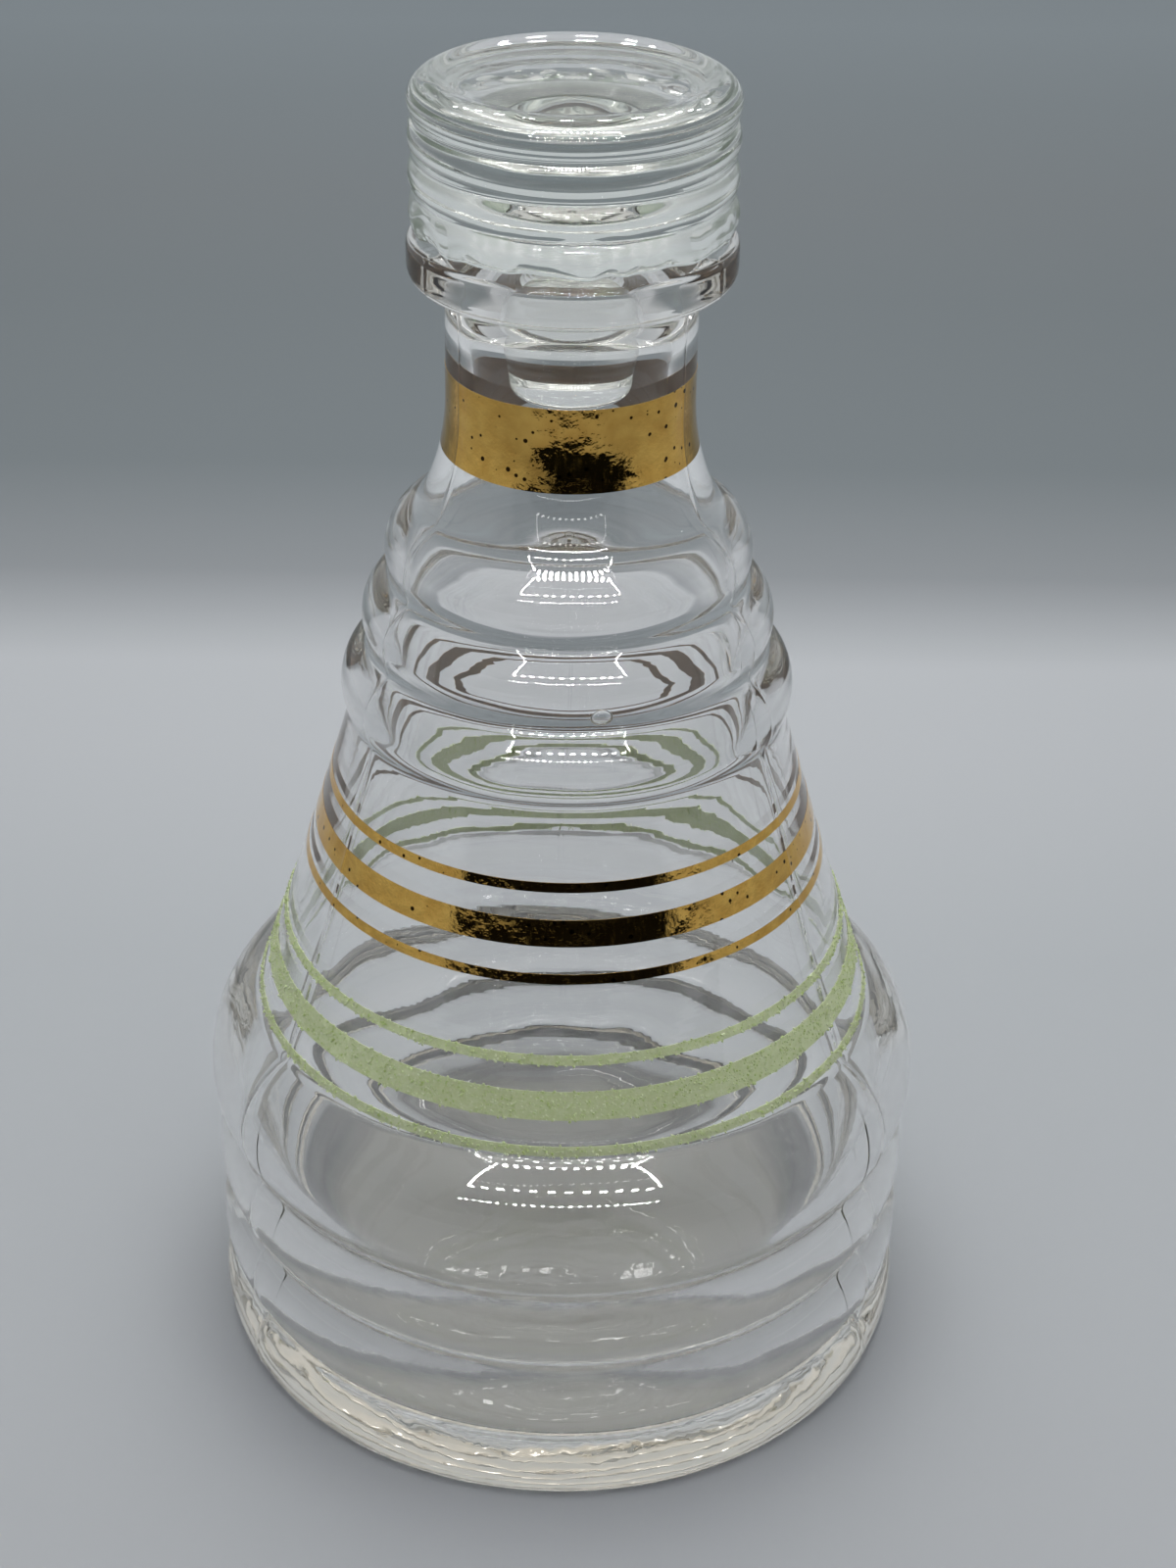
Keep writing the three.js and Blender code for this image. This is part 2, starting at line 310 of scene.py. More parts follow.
def bottle_underside(rim):
    outline = [point(rim * i / 20, floor_height(rim * i / 20, rim)) for i in range(21)]
    return outline + [point(rim + BEARING_WIDTH / 2, 0)]


def bottle_outside():
    """From the bearing edge under the heel up to the top of the lip."""
    heel_top = point(BODY_CREST_RADIUS - HEEL_INSET, HEEL_RADIUS)
    bearing_edge = point(heel_top.x - HEEL_RADIUS, 0)
    rings = quarter(bearing_edge, point(heel_top.x, 0), heel_top)
    groove = point(BODY_GROOVE_RADIUS, FOOT_RING_HEIGHT)
    rings += ring(heel_top, BODY_CREST_RADIUS, groove)
    for _ in range(BODY_RING_COUNT):
        above = groove + point(0, BODY_RING_HEIGHT)
        rings += ring(groove, BODY_CREST_RADIUS, above)
        groove = above
    crest = point(SHOULDER_RADIUS, SHOULDER_FOOT + SHOULDER_CREST_RISE)
    rings += arc(groove, crest, point(CONE_FOOT_RADIUS, CONE_FOOT), 40)
    outline = spaced(rings, RING_GAP)
    cone = [CONE_FOOT + CONE_HEIGHT * i / 24 for i in range(1, 25)]
    outline += [point(cone_radius(height), height) for height in cone]
    grooves = step_grooves()
    steps = []
    for low, high, (_, crest, _) in zip(grooves, grooves[1:], STEP_RINGS):
        steps += ring(low, crest, high)
    flare = [STEPS_TOP + NECK_FLARE_HEIGHT * i / 10 for i in range(1, 11)]
    steps += [point(neck_radius(height), height) for height in flare]
    outline += softened(spaced(steps, STEP_GAP), STEP_EASING)[1:]
    neck_top = point(NECK_RADIUS, LIP_FOOT)
    outline += spaced([outline[-1], neck_top - point(0, LIP_FILLET)], NECK_GAP)[1:]
    lip_low = point(LIP_RADIUS, LIP_FOOT)
    lip_high = point(LIP_RADIUS, LIP_TOP)
    side = quarter(lip_low - point(LIP_LOWER_EDGE, 0), lip_low, lip_low + point(0, LIP_LOWER_EDGE))
    side += quarter(lip_high - point(0, LIP_UPPER_EDGE), lip_high, lip_high - point(LIP_UPPER_EDGE, 0))
    outline += spaced([outline[-1], neck_top, *side], LIP_GAP)[1:]
    return outline


def bottle_inside():
    """From the mouth down to the middle of the floor."""
    mouth = [
        point(MOUTH_RADIUS + MOUTH_CHAMFER, LIP_TOP),
        point(MOUTH_RADIUS, LIP_TOP - MOUTH_CHAMFER),
        point(MOUTH_RADIUS, THROAT_TOP),
        point(BORE_RADIUS, THROAT_FOOT),
        point(BORE_RADIUS, NECK_FOOT),
    ]
    grooves = step_grooves()
    thinning = (CONE_WALL - STEP_TOP_WALL) / len(STEP_RINGS)
    inner = [groove - point(CONE_WALL - thinning * i, 0) for i, groove in enumerate(grooves)]
    wall = arc_leaving_upright(mouth[-1], inner[-1])
    for i in reversed(range(len(STEP_RINGS))):
        low, high = inner[i], inner[i + 1]
        rise = STEP_RINGS[i][1] - (grooves[i].x + grooves[i + 1].x) / 2
        wall += ring(high, (low.x + high.x) / 2 + STEP_RING_REPEAT * rise, low)
    cone = [CONE_TOP - CONE_HEIGHT * i / 6 for i in range(1, 6)]
    wall += [point(cone_radius(height) - CONE_WALL, height) for height in cone]
    body_radius = BODY_GROOVE_RADIUS - BODY_WALL
    shoulder_top = point(CONE_FOOT_RADIUS - CONE_WALL, CONE_FOOT)
    shoulder_crest = point(SHOULDER_RADIUS - BODY_WALL, SHOULDER_FOOT + SHOULDER_CREST_RISE)
    wall += arc(shoulder_top, shoulder_crest, point(body_radius, SHOULDER_FOOT))
    floor_edge = body_radius - FLOOR_CORNER_WIDTH
    floor_low = floor_height(floor_edge, body_radius) + FLOOR_THICKNESS
    for i in range(25):
        angle = math.pi / 2 * i / 24
        across = floor_edge + FLOOR_CORNER_WIDTH * math.cos(angle)
        wall.append(point(across, floor_low + FLOOR_CORNER_HEIGHT * (1 - math.sin(angle))))
    shares = [1 - i / 12 for i in range(1, 13)]
    floor = [point(floor_edge * s, floor_height(floor_edge * s, body_radius)) for s in shares]
    wall += [p + point(0, FLOOR_THICKNESS) for p in floor]
    return softened(spaced(mouth[:-1] + wall, INSIDE_GAP), INSIDE_EASING)


def stopper_outline():
    """From the middle of the plug's end, out and up to the middle of the top."""
    plug_foot = HEAD_FOOT - PLUG_LENGTH
    plug_end = point(PLUG_RADIUS - PLUG_TAPER, plug_foot)
    eased = PLUG_EDGE_RADIUS
    outline = [point(0, plug_foot)]
    outline += quarter(plug_end - point(eased, 0), plug_end, plug_end + point(0, eased))
    outline.append(point(PLUG_RADIUS, HEAD_FOOT))
    groove = point(HEAD_RADIUS - HEAD_SEAT_INSET, HEAD_FOOT)
    for place, height in enumerate(HEAD_RIB_HEIGHTS):
        top = place == len(HEAD_RIB_HEIGHTS) - 1
        inset = HEAD_TOP_INSET if top else HEAD_GROOVE_DEPTH
        above = point(HEAD_RADIUS - inset, groove.y + height)
        outline += ring(groove, HEAD_RADIUS, above)
        groove = above
    dish_edge = groove - point(HEAD_RIM_WIDTH, 0)
    crest = point(groove.x - HEAD_RIM_WIDTH / 2, groove.y + HEAD_RIM_RISE)
    outline += arc(groove, crest, dish_edge)
    outline.append(point(dish_edge.x - HEAD_DISH_SLOPE, crest.y - HEAD_DISH_DEPTH))
    outline.append(point(0, crest.y - HEAD_DISH_DEPTH))
    return softened(spaced(outline, STOPPER_GAP), 1)


# Turning outlines into glass

def placed(radius, azimuth, height):
    """A point in metres from its radius, azimuth and height."""
    angle = math.radians(azimuth)
    return Vector((radius * math.sin(angle), -radius * math.cos(angle), height)) * MM


def azimuth_of(place):
    return math.degrees(math.atan2(place.x, -place.y))


def outline_chain(bm, outline, azimuth, closed):
    """A chain of edges through the outline, standing at one azimuth."""
    corners = [bm.verts.new(placed(p.x, azimuth, p.y)) for p in outline]
    links = list(zip(corners, corners[1:]))
    if closed:
        links.append((corners[-1], corners[0]))
    return corners, [bm.edges.new(link) for link in links]


def turned(outline, skin_of, closed=False):
    """Spins an outline round the axis, in finer steps across the mould's seams.

    skin_of tells for each point of the outline which skin it lies on: 1 outside, -1 inside.
    """
    bm = bmesh.new()
    skin = bm.verts.layers.int.new("skin")
    first = SEAM_AZIMUTHS[0] + SEAM_WIDTH / 2
    corners, links = outline_chain(bm, outline, first, closed)
    for place, corner in enumerate(corners):
        corner[skin] = skin_of(place)
    geometry = corners + links
    seams = SEAM_AZIMUTHS[1:] + (SEAM_AZIMUTHS[0] + 360,)
    for here, following in zip(SEAM_AZIMUTHS, seams):
        plain = following - here - SEAM_WIDTH
        for angle, steps in ((plain, round(SIDES * plain / 360)), (SEAM_WIDTH, SEAM_STEPS)):
            spun = bmesh.ops.spin(
                bm, geom=geometry, axis=(0, 0, 1), angle=math.radians(angle), steps=steps
            )
            geometry = spun["geom_last"]
    bmesh.ops.remove_doubles(bm, verts=bm.verts, dist=1e-6)
    bmesh.ops.recalc_face_normals(bm, faces=bm.faces)
    bm.normal_update()
    return bm, skin


def held(share):
    """A share held between 0 and 1."""
    return min(1.0, max(0.0, share))


def seam_share(azimuth):
    """1 on a mould seam, falling to 0 at its edges."""
    nearest = min(abs((azimuth - seam + 180) % 360 - 180) for seam in SEAM_AZIMUTHS)
    return max(0.0, 1 - (2 * nearest / SEAM_WIDTH) ** 2) ** 2


def outside_relief(place):
    """How far the outside stands off its turned form, in millimetres."""
    wave = noise.noise(place / (OUTER_WAVE_LENGTH * MM))
    fade = 1 - SEAM_FADE * held((place.z / MM - CONE_FOOT) / CONE_HEIGHT)
    return fade * SEAM_RISE * seam_share(azimuth_of(place)) + OUTER_WAVE * wave


def inside_relief(place):
    """Waves in the blown wall, which fade out towards the moulded neck."""
    fade = held((STEPS_TOP - place.z / MM) / INNER_WAVE_FADE)
    slow = noise.noise(place / (INNER_WAVE_LENGTH * MM))
    quick = noise.noise(place / (INNER_WAVE_LENGTH * MM / FINER_WAVE))
    return fade * INNER_WAVE * (slow + FINER_WAVE_SHARE * quick)


def eased_off(bm, skin):
    """Moves each point of a turned piece along its normal by the relief of its skin."""
    moves = []
    for corner in bm.verts:
        if corner[skin] == 1:
            moves.append((corner, outside_relief(corner.co)))
        elif corner[skin] == -1:
            moves.append((corner, inside_relief(corner.co)))
    for corner, distance in moves:
        corner.co += corner.normal * distance * MM


def add_bubble(bm, centre, half_sizes, azimuth):
    turn = Matrix.Rotation(math.radians(azimuth), 4, "Z")
    size = Matrix.Diagonal((half_sizes[0] * MM, half_sizes[2] * MM, half_sizes[1] * MM, 1))
    bmesh.ops.create_uvsphere(
        bm, u_segments=20, v_segments=12, radius=1, matrix=Matrix.Translation(centre) @ turn @ size
    )


def add_air(bm):
    """Adds the blister and the seeds: closed skins in the wall, whose faces look into the air."""
    air = bmesh.new()
    azimuth, height, radius, half_sizes = BLISTER
    add_bubble(air, placed(radius, azimuth, height), half_sizes, azimuth)
    draw = random.Random(5)
    for _ in range(SEED_COUNT):
        azimuth = draw.uniform(-180, 180)
        height = draw.uniform(CONE_FOOT, CONE_TOP)
        half = draw.uniform(*SEED_SIZE) / 2
        depth = draw.uniform(SEED_DEPTH, CONE_WALL - SEED_DEPTH)
        centre = placed(cone_radius(height) - depth, azimuth, height)
        add_bubble(air, centre, (half, SEED_STRETCH * half, half), azimuth)
    bmesh.ops.reverse_faces(air, faces=air.faces)
    mesh = bpy.data.meshes.new("air")
    air.to_mesh(mesh)
    air.free()
    bm.from_mesh(mesh)
    bpy.data.meshes.remove(mesh)


def finished(bm, name, *materials, smooth=True):
    """A piece of that name from a bmesh, with its materials, linked into the scene."""
    for face in bm.faces:
        face.smooth = smooth
    mesh = bpy.data.meshes.new(name)
    bm.to_mesh(mesh)
    bm.free()
    for material in materials:
        mesh.materials.append(material)
    piece = bpy.data.objects.new(name, mesh)
    bpy.context.scene.collection.objects.link(piece)
    return piece


def bottle(glass):
    outside = bottle_outside()
    underside = bottle_underside(outside[0].x - BEARING_WIDTH)
    outline = softened(underside + outside, 1)
    first_inside = len(outline)
    outline += bottle_inside()

    def skin_of(place):
        if place >= first_inside:
            return -1
        return 1 if place > len(underside) + 4 else 0

    bm, skin = turned(outline, skin_of)
    eased_off(bm, skin)
    add_air(bm)
    return finished(bm, "bottle_glass_body", glass)


def pressed_relief(place):
    """Chill waves over the head, and crinkles round the rim of its foot and on the end of the plug."""
    height = place.z / MM
    across = math.hypot(place.x, place.y) / MM
    wave = STOPPER_WAVE * noise.noise(place / (STOPPER_WAVE_LENGTH * MM))
    rim = held((across - CRINKLED_FROM) / (CRINKLED_FULLY - CRINKLED_FROM))
    foot = rim * max(0.0, 1 - abs(height - HEAD_FOOT - CRINKLE_RISE) / CRINKLE_REACH)
    plug_end = max(0.0, 1 - (height - HEAD_FOOT + PLUG_LENGTH) / PLUG_CRINKLE_REACH)
    squeezed = Vector((place.x, place.y, CRINKLE_SQUEEZE * place.z))
    crinkle = noise.noise(squeezed / (CRINKLE_LENGTH * MM))
    sides = held(across - HEAD_RADIUS + HEAD_RIM_WIDTH) if height > HEAD_FOOT else 0.0
    return wave * sides + crinkle * (CRINKLE * foot + PLUG_CRINKLE * plug_end)


def stopper(glass, ground):
    bm = bmesh.new()
    corners, links = outline_chain(bm, stopper_outline(), 0, closed=False)
    bmesh.ops.spin(
        bm, geom=corners + links, axis=(0, 0, 1), angle=math.tau, steps=STOPPER_SIDES, use_merge=True
    )
    bmesh.ops.remove_doubles(bm, verts=bm.verts, dist=1e-6)
    bmesh.ops.recalc_face_normals(bm, faces=bm.faces)
    bm.normal_update()
    moves = [pressed_relief(corner.co) for corner in bm.verts]
    for corner, distance in zip(bm.verts, moves):
        corner.co += corner.normal * distance * MM
    for face in bm.faces:
        middle = face.calc_center_median()
        across = math.hypot(middle.x, middle.y) / MM
        level = abs(middle.z / MM - HEAD_FOOT) < SEAT_DEPTH
        seat = level and PLUG_RADIUS < across < SEAT_RADIUS
        face.material_index = 1 if seat else 0
    return finished(bm, "stopper_glass_body", glass, ground)


def follow_relief(bm):
    """Moves each point of a layer straight out with the relief of the glass under it."""
    for corner in bm.verts:
        across = Vector((corner.co.x, corner.co.y, 0)).normalized()
        corner.co += across * outside_relief(corner.co) * MM


def layer(surface, low, high, inner, outer, stations):
    """A thin closed skin that follows the outside of the bottle between two heights."""
    heights = [low + (high - low) * i / stations for i in range(stations + 1)]
    outline = [point(surface(height) + outer, height) for height in heights]
    outline += [point(surface(height) + inner, height) for height in reversed(heights)]
    bm, _ = turned(outline, lambda place: 1, closed=True)
    follow_relief(bm)
    return bm


def gold_band(name, surface, low, high, gold, painted_shade_gold_back):
    """Gilding half sunk into the glass, so that both its faces show: the mirror and the back, whose
    dull look is painted shade.
    """
    thick = GOLD_HALF_THICKNESS
    bm = layer(surface, low, high, -thick, thick, stations=8)
    for face in bm.faces:
        outward = face.normal.dot(face.calc_center_median())
        face.material_index = 0 if outward > 0 else 1
    for edge in bm.edges:
        edge.smooth = edge.calc_face_angle(0.0) < GOLD_EDGE_ANGLE
    return finished(bm, name + "_gilding", gold, painted_shade_gold_back)


def add_grains(bm, low, high, width, draw):
    """Scatters grains over one patch of that many degrees, and repeats the patch round the cone."""
    area = math.radians(width) * cone_radius((low + high) / 2) * (high - low)
    patch = []
    for _ in range(round(area * GRAINS_PER_SQUARE_MM / len(GRAIN_PATCHES))):
        height = draw.uniform(low, high)
        spot = placed(cone_radius(height) + GRIT_BED[1], draw.uniform(0, width), height)
        half = GRAIN_SIZE / 2 * MM * draw.uniform(0.6, 1.25)
        shape = Matrix.Diagonal([half * draw.uniform(0.7, 1.2) for _ in range(3)]).to_4x4()
        turn = Euler([draw.uniform(0, math.tau) for _ in range(3)]).to_matrix().to_4x4()
        made = bmesh.ops.create_icosphere(
            bm, subdivisions=1, radius=1, matrix=Matrix.Translation(spot) @ turn @ shape
        )
        patch += made["verts"]
    faces = list({face for corner in patch for face in corner.link_faces})
    edges = list({edge for face in faces for edge in face.edges})
    copies = round(360 / width)
    bmesh.ops.spin(
        bm, geom=patch + edges + faces, axis=(0, 0, 1), angle=math.radians(360 - width),
        steps=copies - 1, use_duplicate=True,
    )


def grit_band(name, low, high, bed, grains, draw):
    """A bed of fused green glass, thick with angular grains that straggle past its edges."""
    bm = bmesh.new()
    for width in GRAIN_PATCHES:
        add_grains(bm, low, high, width, draw)
    for face in bm.faces:
        face.material_index = 1
    follow_relief(bm)
    grit = finished(bm, name + "_grit", bed, grains, smooth=False)
    under = layer(cone_radius, low + GRIT_EDGE, high - GRIT_EDGE, *GRIT_BED, stations=4)
    under.from_mesh(grit.data)
    under.to_mesh(grit.data)
    under.free()
    return grit


# Materials, with the sizes of their patterns across and up where these differ
GLASS_IOR = 1.52
RIPPLE_LENGTH = 6.0
DRAWN_LINE = (70.0, 1.3)
DRAWN_LINE_SHARE = 0.6
SMEAR_LENGTH = 9.0
MOTTLE_LENGTH = 3.2
MOTTLE = 0.14
STREAK = (0.5, 5.0)
STREAK_DEPTH = 0.008
SPECK_SPACING = 1.3
CLOUD_LENGTH = 5.0


def linear(colour):
    """A colour written as sRGB hex, as linear red, green, blue and alpha."""
    parts = [int(colour[i:i + 2], 16) / 255 for i in (1, 3, 5)]
    curve = [p / 12.92 if p <= 0.04045 else ((p + 0.055) / 1.055) ** 2.4 for p in parts]
    return (*curve, 1.0)


def add(tree, kind, inputs=None, **settings):
    """Adds a node with its settings, and sets or links each input given by its name or number."""
    made = tree.nodes.new(kind)
    for name, value in settings.items():
        setattr(made, name, value)
    for name, value in (inputs or {}).items():
        if isinstance(value, bpy.types.NodeSocket):
            tree.links.new(value, made.inputs[name])
        else:
            made.inputs[name].default_value = value
    return made


def new_material(name):
    """A material with an empty node tree, and its tree, output and Object coordinates."""
    material = bpy.data.materials.new(name)
    material.use_nodes = True
    tree = material.node_tree
    tree.nodes.clear()
    output = add(tree, "ShaderNodeOutputMaterial")
    coordinates = add(tree, "ShaderNodeTexCoord").outputs["Object"]
    return material, tree, output, coordinates


def per_metre(size):
    """A texture's scale for a feature of that many millimetres."""
    return 1 / (size * MM)


def noise_texture(tree, place, scale, detail):
    """Cloudy noise from 0 to 1."""
    made = add(tree, "ShaderNodeTexNoise", {"Vector": place, "Scale": scale, "Detail": detail})
    return made.outputs["Fac"]


def stretched(tree, coordinates, across, up):
    """Coordinates for a pattern that measures so many millimetres across and up."""
    scale = (per_metre(across), per_metre(across), per_metre(up))
    return add(tree, "ShaderNodeMapping", {"Vector": coordinates, "Scale": scale}).outputs["Vector"]


def mapped(tree, value, start, end, first, last, **settings):
    """A value that runs from the first to the last as another runs from the start to the end."""
    made = add(
        tree, "ShaderNodeMapRange",
        {0: value, "From Min": start, "From Max": end, "To Min": first, "To Max": last},
        **settings,
    )
    return made.outputs["Result"]


def mixed(tree, share, first, second):
    """A colour between two others."""
    return add(tree, "ShaderNodeMix", {0: share, 6: first, 7: second}, data_type="RGBA").outputs[2]


def reckoned(tree, operation, *values):
    """The result of one step of arithmetic."""
    return add(tree, "ShaderNodeMath", dict(enumerate(values)), operation=operation).outputs["Value"]


def distance_from_axis(tree, coordinates):
    level = add(
        tree, "ShaderNodeVectorMath", {0: coordinates, 1: (1.0, 1.0, 0.0)}, operation="MULTIPLY"
    )
    away = add(tree, "ShaderNodeVectorMath", {0: level.outputs["Vector"]}, operation="LENGTH")
    return away.outputs["Value"]


def bumped(tree, height, distance, normal=None, strength=1.0):
    """A normal bent by a pattern that stands so many millimetres high, on top of another normal."""
    inputs = {"Height": height, "Strength": strength, "Distance": distance * MM}
    if normal is not None:
        inputs["Normal"] = normal
    return add(tree, "ShaderNodeBump", inputs).outputs["Normal"]


def add_surface(tree, output, inputs):
    surface = add(tree, "ShaderNodeBsdfPrincipled", inputs)
    tree.links.new(surface.outputs["BSDF"], output.inputs["Surface"])


def crinkled_inside(tree, coordinates, normal):
    """Crinkles of the chilled inside, low in the bottle, where the blown glass met the cold mould."""
    crinkles = noise_texture(tree, stretched(tree, coordinates, CHILL_WIDTH, CHILL_LENGTH), 1, 2)
    across = distance_from_axis(tree, coordinates)
    inside = reckoned(tree, "LESS_THAN", across, (BODY_GROOVE_RADIUS - BODY_WALL / 2) * MM)
    height = add(tree, "ShaderNodeSeparateXYZ", {0: coordinates}).outputs["Z"]
    low = mapped(tree, height, SHOULDER_FOOT * MM, CONE_FOOT * MM, 1.0, 0.0)
    return bumped(tree, crinkles, CHILL, normal, reckoned(tree, "MULTIPLY", low, inside))


def soda_lime_glass(name, absorbed, density, ripple, dulled=0.0, blown=False):
    """Fire-polished glass: clear and nearly colourless, with a tint that only deep glass shows,
    faint ripples and drawn lines round it that bend what is seen, and smears that dull the gloss.
    Ground glass is dulled all over, and blown glass is crinkled inside."""
    material, tree, output, coordinates = new_material(name)
    lines = noise_texture(tree, stretched(tree, coordinates, *DRAWN_LINE), 1, 1)
    ripples = noise_texture(tree, coordinates, per_metre(RIPPLE_LENGTH), 1)
    normal = bumped(tree, ripples, ripple, bumped(tree, lines, DRAWN_LINE_SHARE * ripple))
    if blown:
        normal = crinkled_inside(tree, coordinates, normal)
    smears = noise_texture(tree, coordinates, per_metre(SMEAR_LENGTH), 4)
    add_surface(
        tree, output,
        {
            "Base Color": linear("#ffffff"),
            "Roughness": mapped(tree, smears, 0.55, 0.8, dulled, dulled + 0.04),
            "IOR": GLASS_IOR,
            "Transmission Weight": 1.0,
            "Normal": normal,
        },
    )
    depth = add(tree, "ShaderNodeVolumeAbsorption", {"Color": linear(absorbed), "Density": density})
    tree.links.new(depth.outputs["Volume"], output.inputs["Volume"])
    return material


def bright_gold():
    """Liquid gold brushed on and fired: a thin deep yellow mirror, uneven enough to mottle what it
    reflects, streaked upright by wear and pricked by dark specks."""
    material, tree, output, coordinates = new_material("bright_gold_brushed_on_and_fired")
    mottle = noise_texture(tree, coordinates, per_metre(MOTTLE_LENGTH), 4)
    streaks = noise_texture(tree, stretched(tree, coordinates, *STREAK), 1, 2)
    colour = mixed(tree, mottle, linear("#c08e40"), linear("#f7cd70"))
    scale = per_metre(SPECK_SPACING)
    specks = add(tree, "ShaderNodeTexVoronoi", {"Vector": coordinates, "Scale": scale})
    pick = add(tree, "ShaderNodeSeparateColor", {0: specks.outputs["Color"]})
    reach = mapped(tree, pick.outputs["Red"], 0.5, 1.0, 0.0, 0.3)
    inside = reckoned(tree, "LESS_THAN", specks.outputs["Distance"], reach)
    add_surface(
        tree, output,
        {
            "Base Color": mixed(tree, inside, colour, linear("#33230f")),
            "Metallic": 1.0,
            "Roughness": mapped(tree, streaks, 0.45, 0.75, 0.04, 0.16),
            "Normal": bumped(tree, mottle, MOTTLE, bumped(tree, streaks, STREAK_DEPTH)),
        },
    )
    return material


def painted_shade_gold_back():
    """The back of the gilding, seen through the glass, in painted shade: a dull warm brown, with no
    mirror to it, for the dim light inside the glass.
    """
    material, tree, output, coordinates = new_material("gold_back_painted_shade")
    cloud = noise_texture(tree, coordinates, per_metre(CLOUD_LENGTH), 4)
    # Painted shade: a dull brown in place of the gold mirror, where little light reaches
    colour = mixed(tree, cloud, linear("#75604c"), linear("#a08870"))
    add_surface(tree, output, {"Base Color": colour, "Metallic": 0.2, "Roughness": 0.4})
    return material


def green_glass_grit(name, dark, light, clear):
    """Crushed green glass fused into clear flux: matt, and translucent enough that the front of the
    band greys with what lies behind it. Each grain has its own shade."""
    material, tree, output, coordinates = new_material(name)
    scale = per_metre(GRAIN_SIZE)
    grains = add(tree, "ShaderNodeTexVoronoi", {"Vector": coordinates, "Scale": scale})
    shade = add(tree, "ShaderNodeSeparateColor", {0: grains.outputs["Color"]})
    add_surface(
        tree, output,
        {
            "Base Color": mixed(tree, shade.outputs["Red"], linear(dark), linear(light)),
            "Roughness": 0.35,
            "IOR": 1.2,
            "Transmission Weight": clear,
        },
    )
    return material


# Camera, floor and light

CAMERA_PLACE = (0.0, -400.0, 340.8)
CAMERA_PITCH = 30.89
CAMERA_ROLL = 0.78
PHOTO_HEIGHT = 1600
PHOTO_WIDTH = 1200
FOCAL_PIXELS = 2891
AXIS_COLUMN = 576.9

# Painted light and shade of the floor, lighter and then darker away behind the carafe, by metres
# behind its axis
FLOOR_PAINTED_LIGHT = (
    (-0.3, "#9a9da1"),
    (-0.1, "#9a9da1"),
    (0.1, "#9da1a5"),
    (0.185, "#a6a9ad"),
    (0.23, "#a9acb0"),
    (0.28, "#82868a"),
    (0.35, "#6f767a"),
    (0.484, "#72797d"),
    (0.585, "#797f83"),
    (0.7, "#80888d"),
    (0.8, "#899298"),
)

# Where the floor is painted paler with light, in metres: out to the sides, and a painted pool of light
# in under the carafe
PAINTED_LIGHT_SIDES = (0.35, 0.9)
PAINTED_LIGHT_POOL = (0.0425, 0.05)
FLOOR_RADIUS = 1.6
FLOOR_DROP = 0.3

# Black card on the floor in front, by its edges
CARD_LEFT = -300.0
CARD_RIGHT = 1000.0
CARD_NEAR = -440.0
CARD_FAR = -1500.0

# Where the tent changes, by how far a direction points back or up
TENT_OPENING = (-0.73, -0.63)
TENT_BACK = (0.2, 0.8)
TENT_TOP = (0.45, 0.8)

# Lamps over the carafe: a soft roof, a frame of dots by its corners, and two more rows of dots
ROOF_CENTRE = (10.0, 60.0, 660.0)
ROOF_SIZE = (620.0, 900.0)
ROOF_ENERGY = 4.4
ROOF_PEAK = 2.0
FRAME_CORNERS = ((-330.0, -520.0), (370.0, -520.0), (160.0, -140.0), (-130.0, -140.0))
REAR_ROW = ((300.0, 420.0), (-300.0, 420.0))
FAR_ROW = ((-560.0, -900.0), (560.0, -900.0))
FRAME_HEIGHT = 650.0
ROW_WIDTH = 36.0
SIDE_WIDTH = 10.0
REAR_WIDTH = 20.0
DOTS_PER_ROW = 12
DOTS_IN_FAR_ROW = 24
DOT_SHARE = 0.4
DOT_GLOW = 600.0

# Bounces of light, enough for a ray to find its way out of the glass
BOUNCES = 40


def add_camera():
    data = bpy.data.cameras.new("camera")
    data.sensor_width = 36
    data.lens = data.sensor_width * FOCAL_PIXELS / PHOTO_HEIGHT
    data.shift_x = (PHOTO_WIDTH / 2 - AXIS_COLUMN) / PHOTO_HEIGHT
    camera = bpy.data.objects.new("camera", data)
    down = Matrix.Rotation(math.radians(90 - CAMERA_PITCH), 4, "X")
    lean = Matrix.Rotation(math.radians(CAMERA_ROLL), 4, "Z")
    camera.matrix_world = Matrix.Translation(Vector(CAMERA_PLACE) * MM) @ down @ lean
    bpy.context.scene.collection.objects.link(camera)
    bpy.context.scene.camera = camera


def add_ramp(tree, value, stops):
    """Colours along a value: each stop gives a value in metres and the colour there."""
    low, high = stops[0][0], stops[-1][0]
    ramp = add(tree, "ShaderNodeValToRGB", {0: mapped(tree, value, low, high, 0.0, 1.0)})
    elements = ramp.color_ramp.elements
    while len(elements) < len(stops):
        elements.new(0.5)
    for element, (place, colour) in zip(elements, stops):
        element.position = (place - low) / (high - low)
        element.color = linear(colour)
    return ramp.outputs["Color"]


def floor_material():
    """Plain pale paper, matt, with painted light and shade that lightens and then darkens it away
    behind the carafe. Painted light makes it palest at the sides, and a painted pool of light makes it
    palest under the carafe, to make up for the light that the glass takes."""
    material, tree, output, coordinates = new_material("floor_paper_painted_light")
    place = add(tree, "ShaderNodeSeparateXYZ", {0: coordinates}).outputs
    # Painted light and shade along the floor, lighter and then darker away behind the carafe
    along = add_ramp(tree, place["Y"], FLOOR_PAINTED_LIGHT)
    # Painted light out at the sides
    sides = mapped(tree, reckoned(tree, "ABSOLUTE", place["X"]), *PAINTED_LIGHT_SIDES, 0.0, 1.0)
    sheet = mixed(tree, sides, along, linear("#d4d7da"))
    # A painted pool of light under the carafe, for the light that the glass takes
    under = mapped(tree, distance_from_axis(tree, coordinates), *PAINTED_LIGHT_POOL, 1.0, 0.0)
    colour = mixed(tree, under, sheet, linear("#d2d3cf"))
    add_surface(tree, output, {"Base Color": colour, "Roughness": 0.6, "Specular IOR Level": 0.2})
    return material


